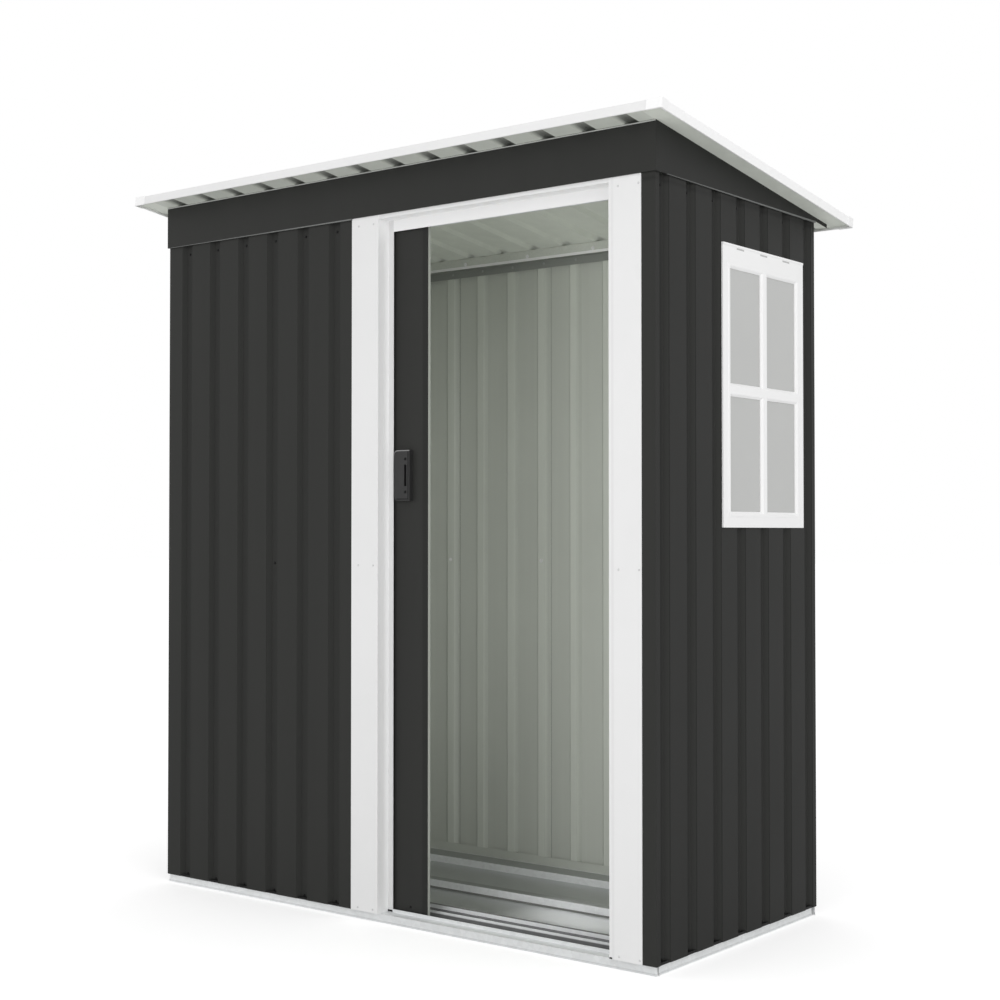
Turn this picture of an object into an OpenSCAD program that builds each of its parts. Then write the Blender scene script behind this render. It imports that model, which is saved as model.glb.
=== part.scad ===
// Metal storage shed with a pent roof, a sliding door and a fixed side window.
// Millimetres. Origin at the middle of the footprint on the ground.
// +X is right, +Y is to the rear, +Z is up. The front faces -Y.

/* [Walls] */
// Width over the wall faces
wall_width = 1500; // [1300:10:2400]
// Depth over the wall faces
wall_depth = 700; // [680:10:1400]
// Thickness of the wall and roof sheets
sheet = 1; // [0.6:0.1:1.5]
// Distance between wall grooves
wall_pitch = 105; // [90:1:130]
// Width of a rib at its mouth
rib_mouth = 38; // [30:1:46]
// Width of a rib at its floor
rib_floor = 20; // [12:1:26]
// Depth of a rib
rib_depth = 10; // [6:0.5:12]
// Flat left past the rib where two sheets lap
lap_flat = 6; // [3:1:10]

/* [Base] */
// Height of the base rails
base_height = 20; // [16:1:40]
// Distance of the rail faces behind the wall faces
base_inset = 5; // [4:1:9]
// Length left open at the corners between two rails
corner_slit = 9; // [4:1:20]
// Height of the folded foot along the rail faces
foot_height = 6; // [3:1:9]
// Step of the folded foot
foot_step = 1.5; // [1:0.1:3]
// Width of the side and rear rails
base_width = 78; // [50:1:110]
// Height of the upstand that the sheets are screwed to
base_upstand = 23; // [8:1:30]
// Thickness of the base rails
base_sheet = 1.5; // [1:0.1:2.5]
// Width of the cross bar in the floor
cross_bar_width = 28; // [20:1:60]
// Height of the cross bar
cross_bar_height = 23; // [18:1:40]
// Thickness of the floor pans
floor_sheet = 1.5; // [1:0.1:3]

/* [Sill] */
// Height of the lip in front of the door trough
sill_lip = 7; // [4:1:12]
// Inner width of the door trough
trough_width = 55; // [45:1:80]
// Height of the trough floor
trough_floor = 4; // [3:0.5:8]
// Height of the lip behind the trough
trough_lip = 5; // [3:1:10]
// Depth of the ledge behind the trough
sill_ledge = 38; // [20:1:60]
// Height of the upstand at the back of the sill
sill_upstand = 11; // [6:1:20]

/* [Doorway] */
// Left edge of the left post, measured from the left wall face
post_left_start = 651; // [560:1:700]
// Width of the left post's face
post_left_width = 84; // [60:1:110]
// Width of the right post's face
post_right_width = 81; // [50:1:110]
// Width of the dark strip between right post and corner
corner_strip = 34; // [25:1:60]
// Depth of the posts and of the lintel
post_depth = 36; // [25:1:50]
// Width of the flange behind the doorway edges
post_flange = 15; // [10:1:25]
// Thickness of posts and lintel
post_sheet = 1.2; // [0.8:0.1:2]
// Height of the lintel's visible front edge under the header
lintel_edge = 9; // [5:1:20]
// Drop of the flange behind the lintel
lintel_drop = 27; // [20:1:45]

/* [Door] */
// Width of the door
door_width = 655; // [640:1:760]
// Thickness of the door
door_thickness = 8; // [6:1:14]
// Part of the door that shows in the doorway when open
door_reveal = 101; // [80:1:160]
// Overlap of the closed door with the flanges
door_overlap = 12; // [8:1:14]
// Clearance of everything on the door
door_clearance = 6; // [5.2:0.1:9]
// Height of the handle
handle_height = 118; // [80:1:160]
// Width of the handle
handle_width = 44; // [30:1:70]
// Depth of the handle
handle_depth = 12; // [8:1:24]
// Width of the grip
grip_width = 26; // [18:1:34]
// Wall of the grip
grip_wall = 3; // [2:0.5:4]
// Radius of the grip's free corners
handle_round = 11; // [5:1:14]
// Width of the lock slot
slot_width = 7; // [4:0.5:8]
// Height of the lock slot
slot_height = 50; // [30:1:60]
// Height of the handle's middle over the ground
handle_level = 1038; // [700:1:1300]
// Running gap under the glides
glide_gap = 0.3; // [0.2:0.1:1]
// Height of a glide
glide_height = 8; // [6:1:12]
// Height of a hanger
runner_height = 12; // [8:1:16]
// Length of a hanger or glide
runner_length = 60; // [30:1:100]

/* [Roof] */
// Height of the header's lower edge over the ground
header_level = 1648; // [1500:1:2000]
// Height of the gable sheets at the rear wall
gable_rear = 9; // [6:1:40]
// Distance of header and gables in front of the wall faces
header_step = 4.5; // [3:0.5:8]
// Slope of the roof
roof_angle = 7.8; // [5:0.1:8]
// Overhang at each side
side_overhang = 58; // [30:1:120]
// Overhang at the front
front_overhang = 68; // [30:1:150]
// Overhang at the rear
rear_overhang = 88; // [30:1:150]
// Distance between roof ribs
roof_pitch = 107; // [100:1:110]
// Height of the white edge trim
trim_height = 20.5; // [19:0.5:40]
// Part of the trim below the roof sheets
trim_drop = 5.5; // [4:0.5:8]
// Thickness of the trim
trim_sheet = 1.5; // [1:0.1:2.5]
// Depth of the trim's upper flange
trim_flange = 20; // [10:1:28]
// Depth of the trim's lower lip
trim_lip = 3; // [2.5:0.5:10]
// Radius of the corner caps
cap_round = 4; // [2:0.5:5]
// Length of the corner caps along the front and rear edges
cap_length = 37; // [30:1:70]
// Length of the corner caps along the side edges
cap_side = 26; // [24:1:70]
// Height of the side and rear top rails
top_rail_height = 45; // [36:1:50]
// Width of the top rail flanges
top_rail_flange = 24; // [15:1:40]
// Height of the rear rail's shelf over its lower edge
shelf_height = 20; // [14:1:26]
// Height of the lip along the shelf
shelf_lip = 7; // [4:0.5:8]

/* [Window] */
// Width of the window frame
window_width = 369; // [300:1:400]
// Height of the window frame
window_height = 623; // [400:1:800]
// Distance of the window's upper edge below the header
window_head = 109; // [60:1:300]
// Distance of the window from the rear wall face
window_rear = 65; // [50:1:120]
// Frame width at the sides
frame_side = 34; // [30:1:60]
// Frame width at the top
frame_top = 53; // [30:1:70]
// Frame width at the bottom
frame_bottom = 35; // [30:1:60]
// Width of the upright bar
muntin_upright = 26; // [20:1:50]
// Width of the level bar
muntin_level = 29; // [20:1:50]
// Distance of the frame's face in front of the wall
frame_proud = 5; // [4:1:14]
// Depth of the frame's tube in the wall
frame_tube = 10; // [6:1:16]
// Thickness of the panes
pane = 3; // [2:0.5:6]
// Bevel along the panes
frame_bevel = 5; // [3:0.5:6]
// Flat of the raised sash round the bevels
sash_border = 6; // [3:1:10]
// Step of the raised sash
sash_step = 1.2; // [0.5:0.1:2]
// Height of the drip edge along the top
drip_height = 5; // [3:1:10]
// Lap of the frame's flange over the wall
frame_lap = 8; // [6:1:12]
// Depth of the panes behind the wall face
pane_step = 2; // [2:0.5:5]
// Width of the rebate that holds the panes
rebate = 12; // [6:1:14]

/* [Hidden] */
half_width = wall_width / 2;
slope = tan(roof_angle);
header_height = gable_rear + slope * wall_depth;
roof_base = header_level + header_height;
roof_length = (front_overhang + wall_depth + rear_overhang) / cos(roof_angle);
roof_half = half_width + side_overhang;
trim_rise = trim_height - trim_drop;
seat_gap = 0.1;
cap_sheet = trim_sheet;
cap_lip = 1;
// Depth from the front wall face to the origin: half way between the roof's front and rear points
roof_front_point = -front_overhang - (cap_sheet * cos(roof_angle) + (trim_drop + cap_lip) * sin(roof_angle));
roof_rear_point = wall_depth + rear_overhang + cap_sheet * cos(roof_angle) + (trim_rise + cap_lip) * sin(roof_angle);
origin_depth = (roof_front_point + roof_rear_point) / 2;
wall_bottom = base_height;
front_panel_top = header_level + 17;
side_panel_top = header_level + 4;
rib_run = (rib_mouth - rib_floor) / 2;
rib_slant = atan2(rib_depth, rib_run);
lap_corner = sheet * tan(rib_slant / 2);
lap_foot = sheet / sin(rib_slant);
rib_back = rib_depth + sheet;
lap_back = rib_back + sheet;
wall_ribs = floor((wall_width - rib_mouth - 2 * corner_strip) / wall_pitch) + 1;
side_ribs = floor((wall_depth - rib_mouth) / wall_pitch) + 1;
roof_ribs = floor((wall_width - rib_mouth) / roof_pitch) + 1;
door_left = -half_width + post_left_start + post_left_width;
door_right = half_width - corner_strip - post_right_width;
lip_top = base_height + sill_lip;
rail_face_end = half_width - 2;
rail_end = half_width - base_inset - base_sheet - seat_gap;
lip_end = half_width - lap_back - seat_gap;
trough_front = post_depth + base_sheet;
trough_back = trough_front + trough_width;
sill_back = trough_back + sill_ledge;
lintel_level = header_level - lintel_edge;
track_level = lintel_level + post_sheet;
door_face = post_depth + post_sheet + door_clearance;
door_back = door_face + door_thickness;
door_lead = door_left + post_flange + door_reveal;
door_trail = door_lead - door_width;
door_travel = door_right - post_flange + door_overlap - door_lead;
door_bottom = trough_floor + glide_gap + glide_height;
door_top = lintel_level - door_clearance - runner_height;
handle_x = door_left + post_flange + door_clearance;
window_low = header_level - window_head - window_height;
window_setback = wall_depth - window_rear - window_width;
window_end = window_setback + window_width;
hole_gap = 3;
hole_start = window_setback + frame_lap - hole_gap;
hole_end = window_end - frame_lap + hole_gap;
pane_column = (window_width - 2 * frame_side - muntin_upright) / 2;
pane_row = (window_height - frame_top - frame_bottom - muntin_level) / 2;
function wall_rib(i) = (i - (wall_ribs - 1) / 2) * wall_pitch;
function side_rib(i) = wall_depth / 2 + (i - (side_ribs - 1) / 2) * wall_pitch;
function roof_rib(i) = (i - (roof_ribs - 1) / 2) * roof_pitch;
// Height of the roof's underside, and of what carries it, at a depth behind the front wall face
function roof_under(d) = roof_base - slope * d;
function roof_seat(d) = roof_under(d) - seat_gap;
seam_front = wall_rib(3);
rear_seams = [wall_rib(3), wall_rib(6), wall_rib(wall_ribs - 4)];
roof_seams = [roof_rib(2), roof_rib(5), roof_rib(roof_ribs - 6), roof_rib(roof_ribs - 3)];
side_seam = side_rib(floor(side_ribs / 2));

dark_paint = [0.22, 0.23, 0.22];
white_paint = [0.92, 0.92, 0.92];
zinc = [0.78, 0.80, 0.81];
inside_paint = [0.5, 0.52, 0.49];
black_plastic = [0.12, 0.12, 0.12];
frosted = [0.74, 0.75, 0.75];

// A bent sheet: the outline of an open path thickened to its left, with mitred corners
function unit(v) = v / norm(v);
function left_of(v) = [-v[1], v[0]];
function mitre(a, b, t) = t * (left_of(a) + left_of(b)) / (1 + left_of(a) * left_of(b));
function bent_sheet(path, t) =
    let (last = len(path) - 1)
    let (way = [for (i = [0 : last - 1]) unit(path[i + 1] - path[i])])
    let (offset_path = [
        for (i = [0 : last])
            i == 0 ? path[0] + t * left_of(way[0])
            : i == last ? path[last] + t * left_of(way[last - 1])
            : path[i] + mitre(way[i - 1], way[i], t)
    ])
    concat(path, [for (i = [last : -1 : 0]) offset_path[i]]);

// The path over one rib, and the wider one that nests over a neighbour's rib
function rib(c) = [
    [c - rib_mouth / 2, 0], [c - rib_floor / 2, rib_depth],
    [c + rib_floor / 2, rib_depth], [c + rib_mouth / 2, 0]
];
function lap_rib(c) = [
    [c - rib_mouth / 2 - lap_foot, 0], [c - rib_floor / 2 - lap_corner, rib_back],
    [c + rib_floor / 2 + lap_corner, rib_back], [c + rib_mouth / 2 + lap_corner, sheet],
    [c + rib_mouth / 2 + lap_corner + lap_flat, sheet]
];
// Ribbed sheet from start to end. A lap at the start begins in the shared rib, one at the end nests over it
function ribbed(start, end, ribs, lap_start, lap_end) =
    let (low = lap_start ? start + 1 : start + rib_mouth / 2)
    let (high = lap_end ? end - 1 : end - rib_mouth / 2)
    concat(
        lap_start ? rib(start) : [[start, 0]],
        [for (c = ribs) if (c > low && c < high) each rib(c)],
        lap_end ? lap_rib(end) : [[end, 0]]
    );
all_wall_ribs = [for (i = [0 : wall_ribs - 1]) wall_rib(i)];
all_side_ribs = [for (i = [0 : side_ribs - 1]) side_rib(i)];
all_roof_ribs = [for (i = [0 : roof_ribs - 1]) roof_rib(i)];

// Placing: depth is measured from the front wall face
module placed() {
    translate([0, -origin_depth, 0]) children();
}
// A profile drawn as [depth, height], run from one X to another
module across(low, high) {
    translate([low, 0, 0]) rotate([90, 0, 90]) linear_extrude(high - low) children();
}
// A profile drawn as [X, depth], run upwards
module upright(low, high) {
    translate([0, 0, low]) linear_extrude(high - low) children();
}
module plate(low_d, high_d, low_z, high_z) {
    translate([low_d, low_z]) square([high_d - low_d, high_z - low_z]);
}
module mirrored_left() {
    mirror([1, 0, 0]) children();
}
module front_sheet(path, top) {
    placed() upright(wall_bottom, top) polygon(bent_sheet(path, sheet));
}
module rear_sheet(path) {
    placed() translate([0, wall_depth, 0]) mirror([0, 1, 0])
        upright(wall_bottom, side_panel_top) polygon(bent_sheet(path, sheet));
}
module right_sheet(path, low, high) {
    placed() translate([half_width, 0, 0]) rotate([0, 0, 90])
        upright(low, high) polygon(bent_sheet(path, sheet));
}
module left_sheet(path) {
    mirrored_left() right_sheet(path, wall_bottom, side_panel_top);
}
// The roof's own frame: X across, Y down the slope from the front edge, Z square to the sheets
module on_roof() {
    placed() translate([0, -front_overhang, roof_under(-front_overhang)])
        rotate([-roof_angle, 0, 0]) children();
}
module roof_sheet(path) {
    on_roof() translate([0, roof_length - trim_sheet, 0]) rotate([90, 0, 0])
        linear_extrude(roof_length - 2 * trim_sheet) polygon(bent_sheet(path, sheet));
}

// The face of a base rail, drawn as [distance inwards, height]: a sheet with a folded foot
module rail_face() {
    polygon(bent_sheet([
        [base_inset, base_height], [base_inset, foot_height],
        [base_inset - foot_step, foot_height], [base_inset - foot_step, 0]
    ], base_sheet));
}
module base_rail_front() {
    color(zinc) placed() union() {
        across(-rail_face_end, rail_face_end) rail_face();
        across(-rail_end, rail_end)
            plate(base_inset, trough_front, base_height - base_sheet, base_height);
        across(-lip_end, lip_end)
            plate(trough_front - base_sheet, trough_front, 0, lip_top);
    }
}
module door_trough() {
    color(zinc) placed() across(-lip_end, lip_end)
        plate(trough_front, trough_back, trough_floor - base_sheet, trough_floor);
}
module sill_rail() {
    color(zinc) placed() union() {
        across(-lip_end, lip_end) union() {
            plate(trough_back, trough_back + base_sheet, 0, base_height + trough_lip);
            plate(sill_back - base_sheet, sill_back, 0, base_height + sill_upstand);
        }
        across(-rail_end, rail_end)
            plate(trough_back, sill_back, base_height - base_sheet, base_height);
    }
}
module base_rail_rear() {
    color(zinc) placed() translate([0, wall_depth, 0]) mirror([0, 1, 0]) union() {
        across(-rail_face_end, rail_face_end) rail_face();
        across(-rail_end, rail_end) union() {
            plate(base_inset, base_width, base_height - base_sheet, base_height);
            plate(base_width - base_sheet, base_width, 0, base_height);
        }
        across(-lip_end, lip_end)
            plate(lap_back, lap_back + base_sheet, base_height - base_sheet, base_height + base_upstand);
    }
}
// A profile drawn as [distance inwards from the wall face, height], run along the right wall
module along_right(low, high) {
    translate([half_width, low, 0]) mirror([1, 0, 0]) rotate([90, 0, 0]) mirror([0, 0, 1])
        linear_extrude(high - low) children();
}
module base_rail_right() {
    slit = base_inset + base_sheet + corner_slit;
    color(zinc) placed() union() {
        along_right(slit, wall_depth - slit) rail_face();
        along_right(sill_back, wall_depth - base_width) union() {
            plate(base_inset, base_width, base_height - base_sheet, base_height);
            plate(base_width - base_sheet, base_width, 0, base_height);
            plate(lap_back, lap_back + base_sheet, base_height - base_sheet, base_height + base_upstand);
        }
    }
}
module base_rail_left() {
    mirrored_left() base_rail_right();
}
bar_middle = (sill_back + wall_depth - base_width) / 2;
module floor_cross_bar() {
    color(zinc) placed()
        across(base_width - half_width, half_width - base_width) union() {
            plate(bar_middle - cross_bar_width / 2, bar_middle + cross_bar_width / 2,
                cross_bar_height - base_sheet, cross_bar_height);
            plate(bar_middle - cross_bar_width / 2, bar_middle - cross_bar_width / 2 + base_sheet,
                0, cross_bar_height);
            plate(bar_middle + cross_bar_width / 2 - base_sheet, bar_middle + cross_bar_width / 2,
                0, cross_bar_height);
        }
}
module floor_pan(low, high) {
    color(zinc) placed() across(base_width - half_width, half_width - base_width)
        plate(low, high, 0, floor_sheet);
}
module floor_pan_front() {
    floor_pan(sill_back, bar_middle - cross_bar_width / 2);
}
module floor_pan_rear() {
    floor_pan(bar_middle + cross_bar_width / 2, wall_depth - base_width);
}

module front_wall_panel_outer() {
    color(dark_paint)
        front_sheet(ribbed(-half_width, seam_front, all_wall_ribs, false, true), front_panel_top);
}
module front_wall_panel_inner() {
    color(dark_paint)
        front_sheet(
            ribbed(seam_front, door_left - post_left_width + 20, all_wall_ribs, true, false),
            front_panel_top
        );
}
// A post: face, return and flange of one bent sheet, notched over the sill lip
module door_post(face_start, edge, side) {
    color(white_paint) placed() union() {
        upright(wall_bottom, front_panel_top)
            translate([min(face_start, edge), -post_sheet])
                square([abs(edge - face_start), post_sheet]);
        upright(wall_bottom, lintel_level)
            translate([side > 0 ? edge - post_sheet : edge, -post_sheet])
                square([post_sheet, post_depth + post_sheet]);
        upright(lip_top, lintel_level)
            translate([side > 0 ? edge - post_sheet : edge - post_flange, post_depth])
                square([post_flange + post_sheet, post_sheet]);
        upright(wall_bottom, lintel_level)
            translate([side > 0 ? edge - post_sheet : edge, post_depth - 2 * post_sheet])
                square([post_sheet, 2 * post_sheet]);
    }
}
module door_post_left() {
    door_post(door_left - post_left_width, door_left, 1);
}
module door_post_right() {
    door_post(door_right + post_right_width, door_right, -1);
}
module door_lintel() {
    color(white_paint) placed() union() {
        across(door_left, door_right) union() {
            plate(0, post_sheet, lintel_level, front_panel_top);
            plate(0, post_depth + post_sheet, lintel_level, track_level);
        }
        across(door_left + post_flange, door_right - post_flange)
            plate(post_depth, post_depth + post_sheet, lintel_level - lintel_drop, track_level);
    }
}
track_back = door_back + door_clearance + 4;
module door_head_track() {
    color(zinc) placed()
        across(lap_back + 2 - half_width, half_width - lap_back - 2) union() {
            plate(lap_back, track_back, track_level, track_level + base_sheet);
            plate(track_back - base_sheet, track_back, lintel_level - lintel_drop + 4,
                track_level + base_sheet);
        }
}

module right_wall_corner_panel() {
    color(dark_paint) right_sheet(
        concat([[0, corner_strip], [0, 0]],
            [for (p = ribbed(0, hole_start, all_side_ribs, false, false)) if (p[0] > 0) p]),
        wall_bottom, side_panel_top
    );
}
module right_wall_lower_panel() {
    color(dark_paint) right_sheet(
        ribbed(hole_start, hole_end, all_side_ribs, false, false),
        wall_bottom, window_low + frame_lap - hole_gap
    );
}
module right_wall_upper_panel() {
    color(dark_paint) right_sheet(
        ribbed(hole_start, hole_end, all_side_ribs, false, false),
        window_low + window_height - frame_lap + hole_gap, side_panel_top
    );
}
module right_wall_rear_panel() {
    color(dark_paint) right_sheet(
        ribbed(hole_end, wall_depth - sheet, all_side_ribs, false, false),
        wall_bottom, side_panel_top
    );
}
// Window: a flange frame on the wall with a tube through it, and bevelled pane openings
module pane_places() {
    for (column = [0, 1]) {
        for (row = [0, 1]) {
            translate([
                frame_side + column * (pane_column + muntin_upright),
                frame_bottom + row * (pane_row + muntin_level)
            ]) children();
        }
    }
}
module window_place() {
    placed() translate([half_width, window_setback, window_low]) rotate([90, 0, 90]) children();
}
module window_frame() {
    sash = frame_bevel + sash_border;
    color(white_paint) window_place() difference() {
        union() {
            linear_extrude(frame_proud - sash_step) square([window_width, window_height]);
            translate([frame_side - sash, frame_bottom - sash, 0])
                cube([
                    window_width - 2 * (frame_side - sash),
                    window_height - frame_top - frame_bottom + 2 * sash,
                    frame_proud
                ]);
            translate([0, window_height - drip_height, 0])
                cube([window_width, drip_height, frame_proud]);
            translate([frame_lap, frame_lap, -frame_tube])
                cube([window_width - 2 * frame_lap, window_height - 2 * frame_lap, frame_tube + 1]);
        }
        pane_places() translate([0, 0, -frame_tube - 1])
            cube([pane_column, pane_row, frame_tube + frame_proud + 2]);
        translate([frame_side - rebate, frame_bottom - rebate, -frame_tube - 1])
            cube([
                window_width - 2 * (frame_side - rebate),
                window_height - frame_top - frame_bottom + 2 * rebate,
                frame_tube + 1 - pane_step
            ]);
        pane_places() hull() {
            translate([0, 0, frame_proud - frame_bevel]) cube([pane_column, pane_row, 0.01]);
            translate([-frame_bevel, -frame_bevel, frame_proud + 0.01])
                cube([pane_column + 2 * frame_bevel, pane_row + 2 * frame_bevel, 0.01]);
        }
    }
}
module window_glazing() {
    edge = rebate - 1;
    color(frosted) window_place()
        translate([frame_side - edge, frame_bottom - edge, -pane_step - pane])
            cube([
                window_width - 2 * (frame_side - edge),
                window_height - frame_top - frame_bottom + 2 * edge,
                pane
            ]);
}
module left_wall_front_panel() {
    color(dark_paint) left_sheet(ribbed(sheet, side_seam, all_side_ribs, false, true));
}
module left_wall_rear_panel() {
    color(dark_paint) left_sheet(ribbed(side_seam, wall_depth - sheet, all_side_ribs, true, false));
}
module rear_wall_panel_1() {
    color(dark_paint) rear_sheet(ribbed(-half_width, rear_seams[0], all_wall_ribs, false, true));
}
module rear_wall_panel_2() {
    color(dark_paint) rear_sheet(ribbed(rear_seams[0], rear_seams[1], all_wall_ribs, true, true));
}
module rear_wall_panel_3() {
    color(dark_paint) rear_sheet(ribbed(rear_seams[1], rear_seams[2], all_wall_ribs, true, true));
}
module rear_wall_panel_4() {
    color(dark_paint) rear_sheet(ribbed(rear_seams[2], half_width, all_wall_ribs, true, false));
}

module header_fascia() {
    edge = half_width + header_step - sheet;
    color(dark_paint) placed() across(-edge, edge) union() {
        polygon([
            [-header_step, header_level], [sheet - header_step, header_level],
            [sheet - header_step, roof_seat(sheet - header_step)],
            [-header_step, roof_seat(-header_step)]
        ]);
        plate(-header_step, -post_sheet, header_level, header_level + sheet);
    }
}
// A gable: the sheet between wall and roof, with a tail under the rear overhang
module gable_right() {
    tail = wall_depth + rear_overhang - 30;
    tail_height = 8.5;
    color(dark_paint) placed() union() {
        across(half_width + header_step - sheet, half_width + header_step) polygon([
            [-header_step, header_level], [wall_depth, header_level],
            [tail, roof_seat(tail) - tail_height], [tail, roof_seat(tail)],
            [-header_step, roof_seat(-header_step)]
        ]);
        across(half_width, half_width + header_step)
            plate(0, wall_depth, header_level, header_level + sheet);
    }
}
module gable_left() {
    mirrored_left() gable_right();
}
top_rail_end = half_width - lap_back - 2;
module top_rail_front() {
    web_low = track_level + base_sheet;
    inner = lap_back + base_sheet;
    color(zinc) placed() across(-top_rail_end, top_rail_end) union() {
        polygon([
            [lap_back, web_low], [inner, web_low], [inner, roof_seat(inner)],
            [lap_back, roof_seat(lap_back)]
        ]);
        polygon([
            [lap_back, roof_seat(lap_back) - base_sheet],
            [lap_back + top_rail_flange, roof_seat(lap_back + top_rail_flange) - base_sheet],
            [lap_back + top_rail_flange, roof_seat(lap_back + top_rail_flange)],
            [lap_back, roof_seat(lap_back)]
        ]);
    }
}
module top_rail_rear() {
    outer = wall_depth - lap_back;
    inner = outer - base_sheet;
    reach = outer - top_rail_flange;
    low = roof_seat(outer) - top_rail_height;
    shelf = low + shelf_height;
    color(inside_paint) placed() across(-top_rail_end, top_rail_end) union() {
        polygon([
            [inner, low], [outer, low], [outer, roof_seat(outer)], [inner, roof_seat(inner)]
        ]);
        plate(reach, outer, shelf, shelf + base_sheet);
        plate(reach, reach + base_sheet, shelf, shelf + shelf_lip);
    }
}
module top_rail_right() {
    low = lap_back + top_rail_flange + 2;
    high = wall_depth - low;
    outer = half_width - lap_back;
    color(zinc) placed() union() {
        across(outer - base_sheet, outer) polygon([
            [low, roof_seat(low) - top_rail_height], [high, roof_seat(high) - top_rail_height],
            [high, roof_seat(high)], [low, roof_seat(low)]
        ]);
        across(outer - top_rail_flange, outer) polygon([
            [low, roof_seat(low) - base_sheet], [high, roof_seat(high) - base_sheet],
            [high, roof_seat(high)], [low, roof_seat(low)]
        ]);
    }
}
module top_rail_left() {
    mirrored_left() top_rail_right();
}

roof_edge = roof_half - trim_sheet;
module roof_panel_1() {
    color(dark_paint) roof_sheet(ribbed(-roof_edge, roof_seams[0], all_roof_ribs, false, true));
}
module roof_panel_2() {
    color(dark_paint) roof_sheet(ribbed(roof_seams[0], roof_seams[1], all_roof_ribs, true, true));
}
module roof_panel_3() {
    color(dark_paint) roof_sheet(ribbed(roof_seams[1], roof_seams[2], all_roof_ribs, true, true));
}
module roof_panel_4() {
    color(dark_paint) roof_sheet(ribbed(roof_seams[2], roof_seams[3], all_roof_ribs, true, true));
}
module roof_panel_5() {
    color(dark_paint) roof_sheet(ribbed(roof_seams[3], roof_edge, all_roof_ribs, true, false));
}
// Trim: a channel over the sheets' edge, drawn as [distance inwards, height over the sheets]
module trim_profile() {
    plate(0, trim_sheet, -trim_drop, trim_rise);
    plate(0, trim_flange, trim_rise - trim_sheet, trim_rise);
    plate(0, trim_lip, -trim_drop, trim_sheet - trim_drop);
}
module roof_trim_front() {
    color(white_paint) on_roof() across(-roof_half, roof_half) trim_profile();
}
module roof_trim_rear() {
    color(white_paint) on_roof() translate([0, roof_length, 0]) mirror([0, 1, 0])
        across(-roof_half, roof_half) trim_profile();
}
module roof_trim_right() {
    color(white_paint) on_roof() translate([roof_half, trim_flange, 0]) mirror([1, 0, 0])
        rotate([90, 0, 0]) mirror([0, 0, 1])
            linear_extrude(roof_length - 2 * trim_flange) trim_profile();
}
module roof_trim_left() {
    mirrored_left() roof_trim_right();
}
// A corner cap: a channel round the corner of the trim, with a rounded outer corner
module cap_outline() {
    union() {
        translate([cap_round, 0]) square([cap_length - cap_round, trim_flange + cap_sheet]);
        translate([0, cap_round]) square([trim_flange + cap_sheet, cap_side - cap_round]);
        translate([cap_round, cap_round]) circle(cap_round, $fn = 48);
    }
}
module corner_cap() {
    low = -trim_drop - cap_lip;
    high = trim_rise + cap_lip;
    difference() {
        translate([-cap_sheet, -cap_sheet, low]) linear_extrude(high - low) cap_outline();
        translate([0, 0, -trim_drop]) cube([cap_length, cap_length, trim_height]);
        translate([trim_lip, trim_lip, low - 1]) cube([cap_length, cap_length, trim_drop]);
    }
}
module roof_corner_caps() {
    color(white_paint) on_roof() {
        for (side = [0, 1]) {
            mirror([side, 0, 0]) translate([-roof_half, 0, 0]) corner_cap();
            mirror([side, 0, 0]) translate([-roof_half, roof_length, 0])
                mirror([0, 1, 0]) corner_cap();
        }
    }
}

// The door: a shallow pan of sheet with its edges folded back
module door_panel() {
    color(dark_paint) placed() difference() {
        translate([door_trail, door_face, door_bottom])
            cube([door_width, door_thickness, door_top - door_bottom]);
        translate([door_trail + sheet, door_face + sheet, door_bottom + sheet])
            cube([door_width - 2 * sheet, door_thickness, door_top - door_bottom - 2 * sheet]);
    }
}
// The handle: a screwed block with a lock slot, hollow for the fingers from its rounded edge
module handle_outline() {
    union() {
        translate([handle_round, 0]) square([handle_width - handle_round, handle_height]);
        translate([0, handle_round]) square([handle_width, handle_height - 2 * handle_round]);
        translate([handle_round, handle_round]) circle(handle_round, $fn = 48);
        translate([handle_round, handle_height - handle_round]) circle(handle_round, $fn = 48);
    }
}
module door_handle() {
    slot_x = (grip_width + handle_width) / 2;
    color(black_plastic) placed()
        translate([handle_x, door_face, handle_level - handle_height / 2]) rotate([90, 0, 0])
            difference() {
                linear_extrude(handle_depth) handle_outline();
                translate([slot_x - slot_width / 2, (handle_height - slot_height) / 2, -1])
                    cube([slot_width, slot_height, handle_depth + 2]);
                translate([-1, handle_round, -1])
                    cube([
                        grip_width - grip_wall + 1,
                        handle_height - 2 * handle_round,
                        handle_depth - grip_wall + 1
                    ]);
            }
}
module runner_places() {
    for (x = [door_trail + runner_length, door_lead - 2 * runner_length]) {
        translate([x, 0, 0]) children();
    }
}
// A hanger: a plate on the door with two wheels in the head track
module door_hangers() {
    wheel = runner_height / 2;
    color(black_plastic) placed() runner_places() union() {
        translate([0, door_face, door_top])
            cube([runner_length, door_thickness, runner_height - wheel]);
        for (x = [wheel, runner_length - wheel]) {
            translate([x, door_back, door_top + wheel]) rotate([90, 0, 0])
                cylinder(r = wheel, h = door_thickness, $fn = 48);
        }
    }
}
module door_glides() {
    color(black_plastic) placed() runner_places()
        translate([0, door_face, door_bottom - glide_height])
            cube([runner_length, door_thickness, glide_height]);
}

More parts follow.
